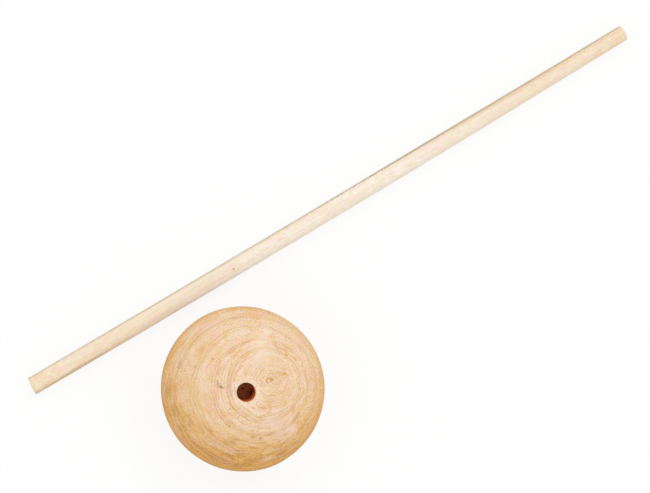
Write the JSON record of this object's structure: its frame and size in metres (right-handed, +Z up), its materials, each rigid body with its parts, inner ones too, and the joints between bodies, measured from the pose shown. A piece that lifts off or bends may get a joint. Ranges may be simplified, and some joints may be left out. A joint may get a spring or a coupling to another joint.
{
  "type": "spinning top",
  "caption": "Wooden spinning top, knocked down: a round turned body with a blind socket in its top, and a long loose dowel stem that plugs into the socket.",
  "frame": {"origin": "middle of the foot that the turned body stands on, on the surface both pieces lie on", "axes": "+Z up along the turned body's own axis, out of its socket; +X along the loose stem, from its butt to its tip; +Y from the body towards the stem"},
  "size_m": [0.3, 0.0848, 0.0495],
  "materials": {
    "body_wood": "bare turned hardwood, sanded",
    "stem_wood": "bare pale hardwood dowel, sanded"
  },
  "bodies": {
    "stem": {"stem": "stem_wood"},
    "turned_body": {"turned_body": "body_wood"}
  },
  "joints": [
    {"name": "body_spin", "type": "hinge", "parent": "stem", "child": "turned_body", "pos_m": [0, 0, 0], "axis": [0, 0, 1], "continuous": true}
  ]
}
